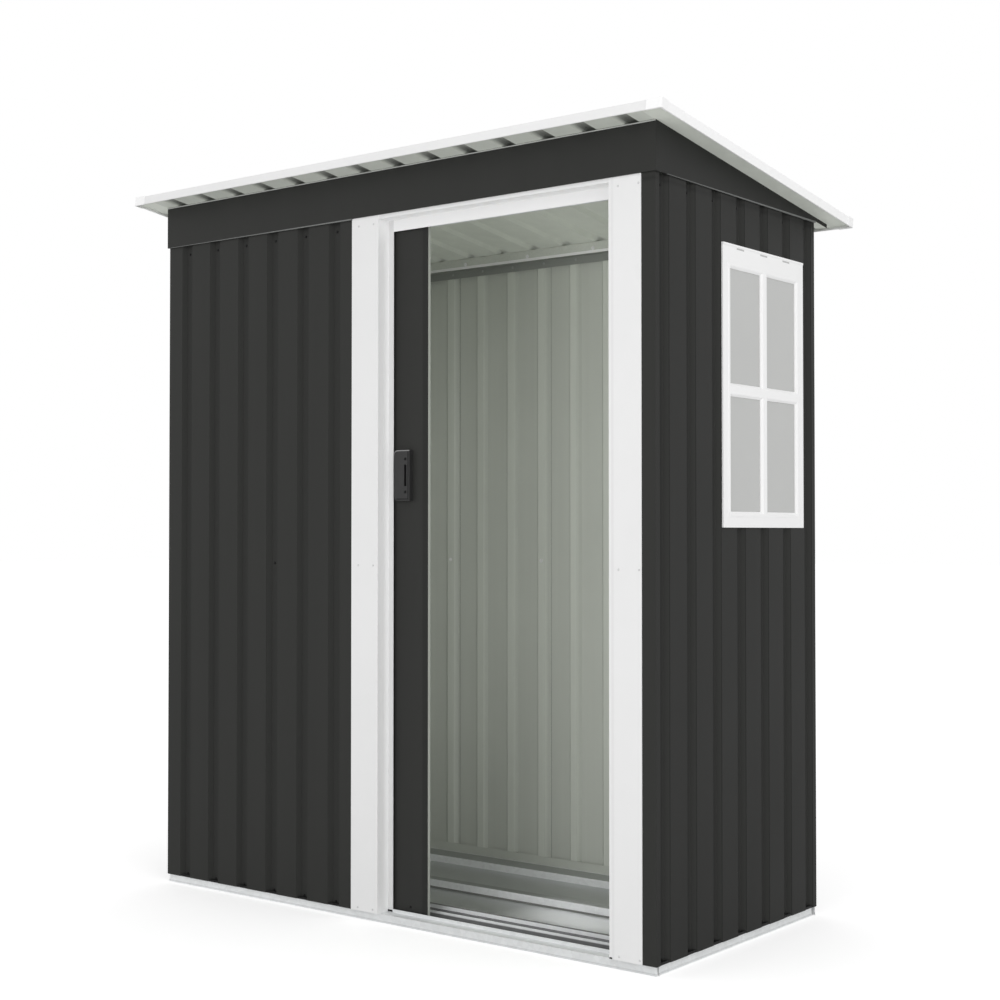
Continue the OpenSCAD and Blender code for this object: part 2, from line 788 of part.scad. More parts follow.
base_rail_front();
door_trough();
sill_rail();
base_rail_rear();
base_rail_left();
base_rail_right();
floor_cross_bar();
floor_pan_front();
floor_pan_rear();
front_wall_panel_outer();
front_wall_panel_inner();
door_post_left();
door_post_right();
door_lintel();
door_head_track();
right_wall_corner_panel();
right_wall_lower_panel();
right_wall_upper_panel();
right_wall_rear_panel();
window_frame();
window_glazing();
left_wall_front_panel();
left_wall_rear_panel();
rear_wall_panel_1();
rear_wall_panel_2();
rear_wall_panel_3();
rear_wall_panel_4();
header_fascia();
gable_left();
gable_right();
top_rail_front();
top_rail_rear();
top_rail_left();
top_rail_right();
roof_panel_1();
roof_panel_2();
roof_panel_3();
roof_panel_4();
roof_panel_5();
roof_trim_front();
roof_trim_rear();
roof_trim_left();
roof_trim_right();
roof_corner_caps();
door_panel();
door_handle();
door_hangers();
door_glides();
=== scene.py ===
import bpy
import math
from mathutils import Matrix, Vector


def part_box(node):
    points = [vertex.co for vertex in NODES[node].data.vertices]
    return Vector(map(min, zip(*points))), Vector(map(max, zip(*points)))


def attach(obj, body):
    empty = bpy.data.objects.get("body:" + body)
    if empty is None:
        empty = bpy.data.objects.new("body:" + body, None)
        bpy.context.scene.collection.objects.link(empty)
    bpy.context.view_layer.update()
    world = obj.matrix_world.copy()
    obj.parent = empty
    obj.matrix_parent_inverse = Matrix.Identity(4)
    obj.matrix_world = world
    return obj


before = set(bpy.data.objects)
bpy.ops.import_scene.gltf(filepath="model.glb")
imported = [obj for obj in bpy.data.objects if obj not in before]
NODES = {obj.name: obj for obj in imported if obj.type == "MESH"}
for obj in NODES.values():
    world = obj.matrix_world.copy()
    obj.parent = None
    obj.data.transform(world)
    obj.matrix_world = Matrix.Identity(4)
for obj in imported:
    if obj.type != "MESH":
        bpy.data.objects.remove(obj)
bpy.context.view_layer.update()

# Sizes in metres, as in the part's source
HALF_WIDTH = 0.750
FRONT = -0.360645          # depth of the front wall face
DEPTH = 0.700
REAR = FRONT + DEPTH
WALL_PITCH = 0.105
ROOF_PITCH = 0.107
RIBS_ACROSS = 14           # on the rear wall and on the roof
SIDE_RIBS = 7
RIB_HEIGHT = 0.011
HEADER_LEVEL = 1.648
ROOF_SEAT = 0.009          # roof sheet over the header level, at the rear wall
ROOF_SLOPE = math.radians(7.8)
ROOF_BASE = HEADER_LEVEL + ROOF_SEAT + math.tan(ROOF_SLOPE) * DEPTH
BASE_HEIGHT = 0.020
DOOR_LEAD = 0.101          # X of the door's free edge at rest
DOOR_FACE = FRONT + 0.0432

TO_FRONT = (0, -1, 0)
TO_REAR = (0, 1, 0)
TO_LEFT = (-1, 0, 0)
TO_RIGHT = (1, 0, 0)
UPWARD = (0, 0, 1)
DOWNWARD = (0, 0, -1)
ROOF_UP = (0, math.sin(ROOF_SLOPE), math.cos(ROOF_SLOPE))


def wall_rib(i):
    return (i - (RIBS_ACROSS - 1) / 2) * WALL_PITCH


def side_rib(i):
    return FRONT + DEPTH / 2 + (i - (SIDE_RIBS - 1) / 2) * WALL_PITCH


def roof_rib(i):
    return (i - (RIBS_ACROSS - 1) / 2) * ROOF_PITCH


def roof_under(depth):
    """Height of the roof sheet's underside at a depth behind the front wall face."""
    return ROOF_BASE - math.tan(ROOF_SLOPE) * depth


def scaled(colour, share):
    return tuple(c * share for c in colour)


class Shader:
    """A material being built: add nodes by type, wire them by name."""

    def __init__(self, name):
        self.material = bpy.data.materials.new(name)
        self.material.use_nodes = True
        self.tree = self.material.node_tree
        self.tree.nodes.clear()
        self.output = self.add("ShaderNodeOutputMaterial")

    def add(self, kind, **settings):
        node = self.tree.nodes.new(kind)
        for key, value in settings.items():
            setattr(node, key, value)
        return node

    def wire(self, out, socket):
        self.tree.links.new(out, socket)

    def principled(self):
        bsdf = self.add("ShaderNodeBsdfPrincipled")
        self.wire(bsdf.outputs["BSDF"], self.output.inputs["Surface"])
        return bsdf

    def place(self):
        return self.add("ShaderNodeTexCoord").outputs["Object"]

    def axes(self):
        """The place by "X", "Y" and "Z"."""
        node = self.add("ShaderNodeSeparateXYZ")
        self.wire(self.place(), node.inputs[0])
        return node.outputs

    def math(self, operation, a, b=None):
        node = self.add("ShaderNodeMath", operation=operation)
        for socket, value in zip(node.inputs, (a, b)):
            if value is None:
                continue
            if hasattr(value, "links"):
                self.wire(value, socket)
            else:
                socket.default_value = value
        return node.outputs[0]

    def plus(self, a, b):
        return self.math("ADD", a, b)

    def less(self, a, b):
        return self.math("SUBTRACT", a, b)

    def times(self, a, b):
        return self.math("MULTIPLY", a, b)

    def over(self, value, limit):
        return self.math("GREATER_THAN", value, limit)

    def under(self, value, limit):
        return self.math("LESS_THAN", value, limit)

    def away(self, value, centre):
        return self.math("ABSOLUTE", self.less(value, centre))

    def dot(self, vector, fixed):
        node = self.add("ShaderNodeVectorMath", operation="DOT_PRODUCT")
        self.wire(vector, node.inputs[0])
        node.inputs[1].default_value = fixed
        return node.outputs["Value"]

    def turned(self, way):
        """How far the face is turned to a way, from -1 to 1."""
        return self.dot(self.add("ShaderNodeTexCoord").outputs["Normal"], way)

    def faces(self, way, limit=0.5):
        """1 on faces that are turned to a way by more than the limit, 0 on the others."""
        return self.over(self.turned(way), limit)

    def noise(self, scale, detail, vector=None):
        node = self.add("ShaderNodeTexNoise")
        node.inputs["Scale"].default_value = scale
        node.inputs["Detail"].default_value = detail
        self.wire(vector or self.place(), node.inputs["Vector"])
        return node.outputs["Fac"]

    def stretched(self, scale):
        node = self.add("ShaderNodeMapping")
        node.inputs["Scale"].default_value = scale
        self.wire(self.place(), node.inputs["Vector"])
        return node.outputs["Vector"]

    def spread(self, value, low, high, to_low, to_high):
        node = self.add("ShaderNodeMapRange")
        self.wire(value, node.inputs["Value"])
        node.inputs["From Min"].default_value = low
        node.inputs["From Max"].default_value = high
        node.inputs["To Min"].default_value = to_low
        node.inputs["To Max"].default_value = to_high
        return node.outputs["Result"]

    def pick(self, flag, no, yes):
        return self.spread(flag, 0.0, 1.0, no, yes)

    def mottle(self, noises, to_low, to_high):
        """Noises added up, and spread from their usual range to another."""
        total = noises[0]
        for more in noises[1:]:
            total = self.plus(total, more)
        count = len(noises)
        return self.spread(total, count * NOISE_LOW, count * NOISE_HIGH, to_low, to_high)

    def blend(self, factor, a, b):
        node = self.add("ShaderNodeMix", data_type="RGBA")
        self.wire(factor, node.inputs["Factor"])
        for socket, value in ((node.inputs[6], a), (node.inputs[7], b)):
            if hasattr(value, "links"):
                self.wire(value, socket)
            else:
                socket.default_value = (*value, 1.0)
        return node.outputs[2]

    def tint(self, colour, value):
        """The colour times a grey value."""
        node = self.add("ShaderNodeMix", data_type="RGBA", blend_type="MULTIPLY")
        node.inputs["Factor"].default_value = 1.0
        self.wire(colour, node.inputs[6])
        self.wire(value, node.inputs[7])
        return node.outputs[2]

    def plain(self, colour):
        node = self.add("ShaderNodeRGB")
        node.outputs[0].default_value = (*colour, 1.0)
        return node.outputs[0]

    def bump(self, height, strength, distance, bsdf):
        node = self.add("ShaderNodeBump")
        node.inputs["Strength"].default_value = strength
        node.inputs["Distance"].default_value = distance
        self.wire(height, node.inputs["Height"])
        self.wire(node.outputs["Normal"], bsdf.inputs["Normal"])


NOISE_LOW, NOISE_HIGH = 0.3, 0.7       # a noise keeps mostly between these
OUTSIDE_LIMIT = 0.05       # how far a face of sheet is turned outward to count as its outside
EDGE_LIMIT = 0.8           # how much further a folded edge has to be turned its own way

# Paints and plastics
DARK_PAINT = (0.0292, 0.0297, 0.0278)
INSIDE_PAINT = (0.615, 0.64, 0.585)
# Rail paint: the rail's own darker paint together with painted shade under its shelf. Lip paint: a painted
# highlight on the rail's lip.
RAIL_PAINT_AND_SHADE = (0.31, 0.325, 0.30)
LIP_PAINTED_LIGHT = (0.95, 0.95, 0.94)
WHITE_PAINT = (0.825, 0.825, 0.825)
# White return: painted light on the sides and undersides of white sheet.
WHITE_PAINTED_LIGHT = (0.99, 0.99, 0.99)
ZINC = (0.82, 0.835, 0.84)
PLASTIC_WHITE = (0.97, 0.97, 0.97)
# Plastic bevel: a painted highlight on the bevels of white plastic.
PLASTIC_BEVEL_HIGHLIGHT = (1.0, 1.0, 1.0)
PLASTIC_BLACK = (0.025, 0.025, 0.025)
PANE_GREY = (0.52, 0.525, 0.515)
PANE_LIGHT = (0.55, 0.555, 0.545)


def painted_groove_shading(s, at):
    """Right wall, painted shade and light: each groove dark along its front side and lighter towards its
    rear, and the strip turned to the front painted lighter.
    """
    sunk_from, painted_groove_shade, painted_groove_light, painted_strip_light = 0.0015, -0.26, 0.52, 0.24
    across = s.times(s.less(at["Y"], side_rib(3)), 1.0 / WALL_PITCH)
    phase = s.math("FRACT", s.plus(across, 0.5))
    sunk = s.over(s.less(HALF_WIDTH, at["X"]), sunk_from)
    lift = s.times(sunk, s.spread(phase, 0.475, 0.575, painted_groove_shade, painted_groove_light))
    strip = s.faces(TO_FRONT, 0.85)
    lift = s.times(lift, s.less(1.0, strip))
    return s.plus(lift, s.times(strip, painted_strip_light))


def painted_rib_shading(s, at, wall):
    """Rear wall from inside, painted light and shade: ribs lighter than the field, with a darker left
    flank.
    """
    painted_rib_light, painted_flank_shade = 1.13, 0.86
    rib = s.spread(s.less(wall, at["Y"]), 0.004, 0.010, 1.0, painted_rib_light)
    return s.times(rib, s.pick(s.faces(TO_LEFT, 0.3), 1.0, painted_flank_shade))


def painted_eaves_shading(s, at, paint):
    """Roof from below, painted shade and light: dark rib hollows ahead of the header, and the whole
    underside painted lighter, more in the room and at the sides.
    """
    painted_hollow_shade, level, painted_room_light, painted_side_light = 0.28, 1.09, 0.32, 0.15
    lift = s.less(s.dot(s.place(), ROOF_UP), ROOF_UP[1] * FRONT + ROOF_UP[2] * ROOF_BASE)
    hollow = s.spread(lift, 0.0005, 0.006, 0.0, 1.0)
    ahead = s.spread(at["Y"], FRONT - 0.060, FRONT - 0.012, 0.25, 1.0)
    ahead = s.times(ahead, s.under(at["Y"], FRONT + 0.030))
    paint = s.blend(s.times(hollow, ahead), paint, scaled(INSIDE_PAINT, painted_hollow_shade))
    room = s.over(at["Y"], FRONT)
    beside = s.over(s.math("ABSOLUTE", at["X"]), HALF_WIDTH + 0.002)
    room = s.times(room, s.less(1.0, beside))
    more = s.plus(s.times(painted_room_light, room), s.times(painted_side_light, beside))
    return s.tint(paint, s.plus(level, more))


def coated_sheet(name, outward, fold=None, eaves=False, lead=None, depth=1.0, ribs=None, grooves=False):
    """Coil-coated sheet: dark paint on the side that faces outward, grey-green wash coat on the other.

    outward is the sheet's main facing, then those of its folded edges. fold is a height at which the
    pressed fields end, with a soft dark line of painted shade along it. lead is the X of a free edge, and
    the paint is darker in a band along it.
    depth scales the dark paint; below 1 it is painted shade, a darker copy of the paint for a wall in
    brighter light. ribs is the Y of a wall whose inside takes the painted rib light and shade; eaves and
    grooves ask for the painted light and shade under the eaves and in the grooves.
    """
    s = Shader(name)
    bsdf = s.principled()
    at = s.axes()
    side = s.turned(outward[0])
    for edge in outward[1:]:
        side = s.math("MAXIMUM", side, s.less(s.turned(edge), EDGE_LIMIT))
    outside = s.over(side, OUTSIDE_LIMIT)
    cloud = s.noise(3.0, 4.0)
    streak = s.noise(1.0, 3.0, vector=s.stretched((26.0, 26.0, 0.7)))
    tone = s.mottle([cloud, streak], 0.95, 1.05)
    if fold is not None:
        tone = s.times(tone, s.spread(s.away(at["Z"], fold), 0.0, 0.008, 0.70, 1.0))
    if lead is not None:
        tone = s.times(tone, s.spread(at["X"], lead - 0.0195, lead - 0.0145, 1.0, 0.74))
    if grooves:
        tone = s.times(tone, s.plus(1.0, s.times(outside, painted_groove_shading(s, at))))
    inside = s.plain(INSIDE_PAINT)
    if ribs is not None:
        inside = s.tint(inside, painted_rib_shading(s, at, ribs))
    if eaves:
        inside = painted_eaves_shading(s, at, inside)
    paint = s.tint(s.blend(outside, inside, scaled(DARK_PAINT, depth)), tone)
    s.wire(paint, bsdf.inputs["Base Color"])
    speck = s.noise(900.0, 2.0)
    s.wire(s.mottle([cloud, speck], 0.46, 0.60), bsdf.inputs["Roughness"])
    bsdf.inputs["Specular IOR Level"].default_value = 0.16
    s.bump(speck, 0.05, 0.0006, bsdf)
    return s.material


def rail_sheet(name, shelf, lip):
    """Painted rail: grey under the height of its shelf, partly its own darker paint and partly painted
    shade under the shelf, and coated like the roof over it.

    lip is a Y in front of which the rail is light, a painted highlight on its lip.
    """
    s = Shader(name)
    bsdf = s.principled()
    at = s.axes()
    cloud = s.noise(6.0, 3.0)
    web = s.blend(s.over(at["Z"], shelf), RAIL_PAINT_AND_SHADE, INSIDE_PAINT)
    paint = s.blend(s.under(at["Y"], lip), web, LIP_PAINTED_LIGHT)
    s.wire(s.tint(paint, s.mottle([cloud], 0.96, 1.04)), bsdf.inputs["Base Color"])
    s.wire(s.mottle([cloud], 0.40, 0.52), bsdf.inputs["Roughness"])
    bsdf.inputs["Specular IOR Level"].default_value = 0.2
    s.bump(s.noise(900.0, 2.0), 0.05, 0.0006, bsdf)
    return s.material


def white_sheet(name, recess, face=1.0, bend=None):
    """White coated sheet, with painted light on its sides and undersides.

    recess is the grey of faces that lie behind the front, painted shade in the recesses, and face scales
    the white. bend is the X of a faint line of painted shade along a fold.
    """
    s = Shader(name)
    bsdf = s.principled()
    at = s.axes()
    cloud = s.noise(4.0, 3.0)
    white = scaled(WHITE_PAINT, face)
    base = s.blend(s.mottle([cloud], 0.0, 1.0), white, scaled(white, 0.975))
    painted_lit_side = s.math("MAXIMUM", s.math("ABSOLUTE", s.turned(TO_RIGHT)), s.turned(DOWNWARD))
    base = s.blend(s.over(painted_lit_side, 0.5), base, WHITE_PAINTED_LIGHT)
    painted_recess = s.times(s.over(at["Y"], FRONT + 0.030), s.faces(TO_FRONT))
    base = s.blend(painted_recess, base, (recess, recess, recess))
    if bend is not None:
        base = s.tint(base, s.spread(s.away(at["X"], bend), 0.0015, 0.0050, 0.94, 1.0))
    s.wire(base, bsdf.inputs["Base Color"])
    speck = s.noise(800.0, 2.0)
    s.wire(s.mottle([cloud, speck], 0.40, 0.52), bsdf.inputs["Roughness"])
    bsdf.inputs["Specular IOR Level"].default_value = 0.3
    s.bump(speck, 0.04, 0.0006, bsdf)
    return s.material


def zinc_sheet(name, level, front, sheen, front_sheen, low_shade=None, high_paint=None, fold=None):
    """Galvanised sheet with faint spangle.

    front scales the colour of faces turned to the front and level that of the others, as painted light and
    shade; front_sheen and sheen are their metallic shares. low_shade darkens what lies under that height as
    painted shadow, high_paint turns what lies over that height into painted sheet. fold is the height of a
    soft dark line of painted shade along the foot; with it, the faces turned to the front are darker from X
    -0.35 to 0.05 and to the right of that.
    """
    s = Shader(name)
    bsdf = s.principled()
    at = s.axes()
    cells = s.add("ShaderNodeTexVoronoi")
    cells.inputs["Scale"].default_value = 85.0
    s.wire(s.place(), cells.inputs["Vector"])
    grey = s.add("ShaderNodeSeparateColor")
    s.wire(cells.outputs["Color"], grey.inputs["Color"])
    spangle = grey.outputs["Red"]
    cloud = s.noise(9.0, 3.0)
    to_front = s.faces(TO_FRONT)
    tone = s.times(s.spread(spangle, 0.0, 1.0, 0.96, 1.04), s.pick(to_front, level, front))
    shine = s.pick(to_front, sheen, front_sheen)
    if fold is not None:
        front_dimming = s.spread(at["X"], -0.35, 0.05, 1.0, 0.85)
        front_dimming = s.plus(s.times(front_dimming, to_front), s.less(1.0, to_front))
        line = s.spread(s.away(at["Z"], fold), 0.0, 0.0024, 0.78, 1.0)
        tone = s.times(tone, s.times(front_dimming, line))
    if low_shade is not None:
        tone = s.times(tone, s.spread(at["Z"], low_shade - 0.002, low_shade, 0.22, 1.0))
    colour = s.tint(s.plain(ZINC), tone)
    if high_paint is not None:
        painted = s.over(at["Z"], high_paint)
        colour = s.blend(painted, colour, INSIDE_PAINT)
        shine = s.times(shine, s.less(1.0, painted))
    s.wire(colour, bsdf.inputs["Base Color"])
    s.wire(shine, bsdf.inputs["Metallic"])
    s.wire(s.spread(s.plus(spangle, cloud), 0.4, 1.6, 0.34, 0.46), bsdf.inputs["Roughness"])
    s.bump(spangle, 0.05, 0.0004, bsdf)
    return s.material


def moulded_white(name, outward):
    """White plastic whose bevels are brighter than the faces, a painted highlight."""
    s = Shader(name)
    bsdf = s.principled()
    cloud = s.noise(6.0, 2.0)
    face = s.blend(cloud, PLASTIC_WHITE, scaled(PLASTIC_WHITE, 0.98))
    flat = s.math("ABSOLUTE", s.turned(outward))
    bevel = s.times(s.under(flat, 0.95), s.over(flat, 0.3))
    s.wire(s.blend(bevel, face, PLASTIC_BEVEL_HIGHLIGHT), bsdf.inputs["Base Color"])
    s.wire(s.mottle([s.noise(300.0, 2.0)], 0.36, 0.46), bsdf.inputs["Roughness"])
    bsdf.inputs["Specular IOR Level"].default_value = 0.35
    return s.material


def frosted_pane(name):
    """Grey pane with a fine grain."""
    s = Shader(name)
    bsdf = s.principled()
    s.wire(s.blend(s.noise(5.0, 2.0), PANE_GREY, PANE_LIGHT), bsdf.inputs["Base Color"])
    grain = s.noise(700.0, 2.0)
    s.wire(s.mottle([grain], 0.30, 0.42), bsdf.inputs["Roughness"])
    s.bump(grain, 0.08, 0.0005, bsdf)
    return s.material


def moulded_black(name):
    """Black plastic with a fine grain."""
    s = Shader(name)
    bsdf = s.principled()
    grain = s.noise(600.0, 2.0)
    s.wire(s.blend(grain, PLASTIC_BLACK, scaled(PLASTIC_BLACK, 1.2)), bsdf.inputs["Base Color"])
    s.wire(s.mottle([grain], 0.38, 0.5), bsdf.inputs["Roughness"])
    bsdf.inputs["Specular IOR Level"].default_value = 0.35
    s.bump(grain, 0.12, 0.0004, bsdf)
    return s.material


def small_finish(name, colour, metallic=0.0):
    """Screws, edges and other small pieces."""
    s = Shader(name)
    bsdf = s.principled()
    cloud = s.noise(200.0, 2.0)
    s.wire(s.blend(cloud, colour, scaled(colour, 0.85)), bsdf.inputs["Base Color"])
    bsdf.inputs["Metallic"].default_value = metallic
    s.wire(s.mottle([cloud], 0.34, 0.48), bsdf.inputs["Roughness"])
    bsdf.inputs["Specular IOR Level"].default_value = 0.2
    return s.material


# Where a finish changes on a piece, and where lines of painted shade and light run
FIELD_END = HEADER_LEVEL - 0.013
RAIL_SHELF = 1.6345
RAIL_LIP = REAR - 0.0338
POST_BEND = 0.6440
BASE_FOLD = 0.0042
REAR_UPSTAND = BASE_HEIGHT + 0.0005

FRONT_SHEET = coated_sheet("coated_sheet_front", [TO_FRONT, DOWNWARD, TO_LEFT, TO_RIGHT])
DOOR_SHEET = coated_sheet("coated_sheet_door", [TO_FRONT], lead=DOOR_LEAD)
REAR_SHEET = coated_sheet("coated_sheet_rear", [TO_REAR, TO_LEFT, TO_RIGHT], ribs=REAR)
# The right wall's dark paint is scaled to 0.80: painted shade, a darker copy for the side that the
# front-right lamp lights most.
RIGHT_SHEET = coated_sheet("coated_sheet_right", [TO_RIGHT, TO_FRONT, TO_REAR, DOWNWARD], fold=FIELD_END,
                           depth=0.80, grooves=True)
LEFT_SHEET = coated_sheet("coated_sheet_left", [TO_LEFT, TO_FRONT, TO_REAR, DOWNWARD], fold=FIELD_END)
ROOF_SHEET = coated_sheet("coated_sheet_roof", [UPWARD], eaves=True)
INNER_SHEET = coated_sheet("coated_sheet_inner", [UPWARD])
RAIL_SHEET = rail_sheet("rail_sheet", RAIL_SHELF, RAIL_LIP)
WHITE = white_sheet("white_sheet", recess=0.85, face=1.03)
POST_WHITE = white_sheet("white_posts", recess=0.72, bend=POST_BEND)
LINTEL_WHITE = white_sheet("white_lintel", recess=0.865)
GALVANISED = zinc_sheet("galvanised_sheet", level=1.1, front=1.1, sheen=0.2, front_sheen=0.2,
                        fold=BASE_FOLD)
# The floor, bar, rear rail, sill and trough copies of the zinc are lighter or darker for how light falls on
# them: level and front darken faces turned level and lighten those turned to the front, as painted shade
# and light. The sill's low_shade is painted shadow in its trough, and the whole trough is painted shade.
FLOOR_ZINC = zinc_sheet("floor_zinc", level=0.75, front=1.19, sheen=0.9, front_sheen=0.05)
BAR_ZINC = zinc_sheet("cross_bar_zinc", level=0.55, front=1.10, sheen=0.9, front_sheen=0.05)
REAR_RAIL_ZINC = zinc_sheet("rear_rail_zinc", level=0.66, front=1.15, sheen=0.9, front_sheen=0.1,
                            high_paint=REAR_UPSTAND)
SILL_ZINC = zinc_sheet("sill_zinc", level=0.20, front=1.18, sheen=0.9, front_sheen=0.1,
                       low_shade=BASE_HEIGHT)
TROUGH_ZINC = zinc_sheet("trough_zinc", level=0.42, front=0.42, sheen=0.6, front_sheen=0.8)
WINDOW_WHITE = moulded_white("window_white", TO_RIGHT)
CAP_WHITE = moulded_white("cap_white", UPWARD)
PANE = frosted_pane("frosted_pane")
BLACK = moulded_black("black_plastic")
STEEL_SCREW = small_finish("screw_zinc", (0.72, 0.73, 0.73), metallic=0.6)
# Bright screw: near-white nuts, a painted glint.
NUT_PAINTED_GLINT = small_finish("screw_painted_glint", (0.93, 0.93, 0.93))
# Dark finish: real dark screws, and also dark blocks of painted shade in gaps and grooves.
DARK_SCREW_AND_SHADE = small_finish("screw_dark_and_shade", (0.008, 0.008, 0.008))
GREY_SCREW = small_finish("screw_grey", (0.42, 0.43, 0.42))
WHITE_SCREW = small_finish("screw_white", (0.70, 0.70, 0.70))
EDGE = small_finish("sheet_edge", (0.19, 0.195, 0.19))
LIGHT_EDGE = small_finish("sheet_edge_light", (0.55, 0.56, 0.54))
# Rim grey: a painted highlight on the handle's rim.
RIM_HIGHLIGHT_GREY = small_finish("rim_highlight_grey", (0.30, 0.30, 0.30))
# Seam grey: the sill's dark hem, and painted shadow at the cross bar's foot.
SEAM_AND_SHADOW_GREY = small_finish("seam_and_shadow_grey", (0.27, 0.275, 0.262))
# Closure grey: lighter than the inside coat, painted light on the shaded strip over the rear top rail.
CLOSURE_PAINTED_LIGHT = small_finish("closure_painted_light", (0.725, 0.75, 0.69))
MARK_GREY = small_finish("window_mark_grey", (0.60, 0.60, 0.60))

# Finishes by how a node's name starts; the first that fits is taken
NODE_FINISHES = (
    (("front_wall", "header"), FRONT_SHEET),
    (("door_panel",), DOOR_SHEET),
    (("rear_wall",), REAR_SHEET),
    (("right_wall", "gable_right"), RIGHT_SHEET),
    (("left_wall", "gable_left"), LEFT_SHEET),
    (("roof_panel",), ROOF_SHEET),
    (("top_rail_rear",), RAIL_SHEET),
    (("top_rail",), INNER_SHEET),
    (("roof_trim",), WHITE),
    (("door_lintel",), LINTEL_WHITE),
    (("door_post",), POST_WHITE),
    (("roof_corner_caps",), CAP_WHITE),
    (("window_frame",), WINDOW_WHITE),
    (("window_glazing",), PANE),
    (("door_handle", "door_hangers", "door_glides"), BLACK),
    (("base_rail_rear",), REAR_RAIL_ZINC),
    (("sill_rail",), SILL_ZINC),
    (("door_trough",), TROUGH_ZINC),
    (("floor_cross_bar",), BAR_ZINC),
    (("floor",), FLOOR_ZINC),
    (("base_rail", "door_head_track"), GALVANISED),
)


def finish_for(node):
    return next(finish for starts, finish in NODE_FINISHES if node.startswith(starts))


def dress_nodes():
    """Gives every node of the CAD its finish."""
    for name, obj in NODES.items():
        finish = finish_for(name)
        if not obj.material_slots:
            obj.data.materials.append(finish)
        for slot in obj.material_slots:
            slot.material = finish


def screw_tree(name):
    """Screws on washers, one at each point, turned to the point's facing."""
    tree = bpy.data.node_groups.new(name, "GeometryNodeTree")
    face = tree.interface
    face.new_socket("Geometry", in_out="INPUT", socket_type="NodeSocketGeometry")
    sockets = {}
    for label, kind in (
        ("Sides", "Int"), ("Head radius", "Float"), ("Head top", "Float"), ("Head height", "Float"),
        ("Washer radius", "Float"), ("Washer height", "Float"), ("Finish", "Material"),
    ):
        socket = face.new_socket(label, in_out="INPUT", socket_type="NodeSocket" + kind)
        sockets[label] = socket.identifier
    face.new_socket("Geometry", in_out="OUTPUT", socket_type="NodeSocketGeometry")
    add = tree.nodes.new
    link = tree.links.new
    given = add("NodeGroupInput")
    result = add("NodeGroupOutput")
    washer = add("GeometryNodeMeshCone")
    washer.inputs["Vertices"].default_value = 20
    link(given.outputs["Washer radius"], washer.inputs["Radius Top"])
    link(given.outputs["Washer radius"], washer.inputs["Radius Bottom"])
    link(given.outputs["Washer height"], washer.inputs["Depth"])
    head = add("GeometryNodeMeshCone")
    link(given.outputs["Sides"], head.inputs["Vertices"])
    link(given.outputs["Head radius"], head.inputs["Radius Bottom"])
    link(given.outputs["Head top"], head.inputs["Radius Top"])
    link(given.outputs["Head height"], head.inputs["Depth"])
    screw = add("GeometryNodeJoinGeometry")
    link(washer.outputs["Mesh"], screw.inputs["Geometry"])
    link(head.outputs["Mesh"], screw.inputs["Geometry"])
    way = add("GeometryNodeInputNamedAttribute")
    way.data_type = "FLOAT_VECTOR"
    way.inputs["Name"].default_value = "facing"
    turn = add("FunctionNodeAlignRotationToVector")
    link(way.outputs["Attribute"], turn.inputs["Vector"])
    turn.axis = "Z"
    points = add("GeometryNodeMeshToPoints")
    link(given.outputs["Geometry"], points.inputs["Mesh"])
    copies = add("GeometryNodeInstanceOnPoints")
    link(points.outputs["Points"], copies.inputs["Points"])
    link(screw.outputs["Geometry"], copies.inputs["Instance"])
    link(turn.outputs["Rotation"], copies.inputs["Rotation"])
    real = add("GeometryNodeRealizeInstances")
    link(copies.outputs["Instances"], real.inputs["Geometry"])
    paint = add("GeometryNodeSetMaterial")
    link(real.outputs["Geometry"], paint.inputs["Geometry"])
    link(given.outputs["Finish"], paint.inputs["Material"])
    link(paint.outputs["Geometry"], result.inputs["Geometry"])
    return tree, sockets


SCREW_TREE, SCREW_SOCKETS = screw_tree("screws")
PAN_HEAD = {"Sides": 16, "Head radius": 0.0032, "Head top": 0.0020, "Head height": 0.0018,
            "Washer radius": 0.0036, "Washer height": 0.0004}
SMALL_HEAD = {"Sides": 16, "Head radius": 0.0024, "Head top": 0.0015, "Head height": 0.0014,
              "Washer radius": 0.0026, "Washer height": 0.0003}
HEX_HEAD = {"Sides": 6, "Head radius": 0.0046, "Head top": 0.0043, "Head height": 0.0042,
            "Washer radius": 0.0075, "Washer height": 0.0014}
SCREW_NUT = {"Sides": 6, "Head radius": 0.0042, "Head top": 0.0036, "Head height": 0.0034,
             "Washer radius": 0.0050, "Washer height": 0.0008}


def drive_screws(name, places, finish, body, kind=PAN_HEAD):
    """One piece of screws. places is a list of (point, facing)."""
    mesh = bpy.data.meshes.new(name + "_points")
    mesh.from_pydata([point for point, way in places], [], [])
    facing = mesh.attributes.new("facing", "FLOAT_VECTOR", "POINT")
    for i, (point, way) in enumerate(places):
        facing.data[i].vector = Vector(way).normalized()
    seed = bpy.data.objects.new(name + "_points", mesh)
    bpy.context.scene.collection.objects.link(seed)
    nodes = seed.modifiers.new("screws", "NODES")
    nodes.node_group = SCREW_TREE
    for label, value in kind.items():
        nodes[SCREW_SOCKETS[label]] = value
    nodes[SCREW_SOCKETS["Finish"]] = finish
    seen = seed.evaluated_get(bpy.context.evaluated_depsgraph_get())
    made = bpy.data.meshes.new_from_object(seen)
    made.name = name
    bpy.data.objects.remove(seed)
    if not made.materials:
        made.materials.append(finish)
    keep_piece(name, made, body)


def keep_piece(name, mesh, body):
    """Puts a finished mesh in the scene, on its body."""
    piece = bpy.data.objects.new(name, mesh)
    bpy.context.scene.collection.objects.link(piece)
    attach(piece, body)


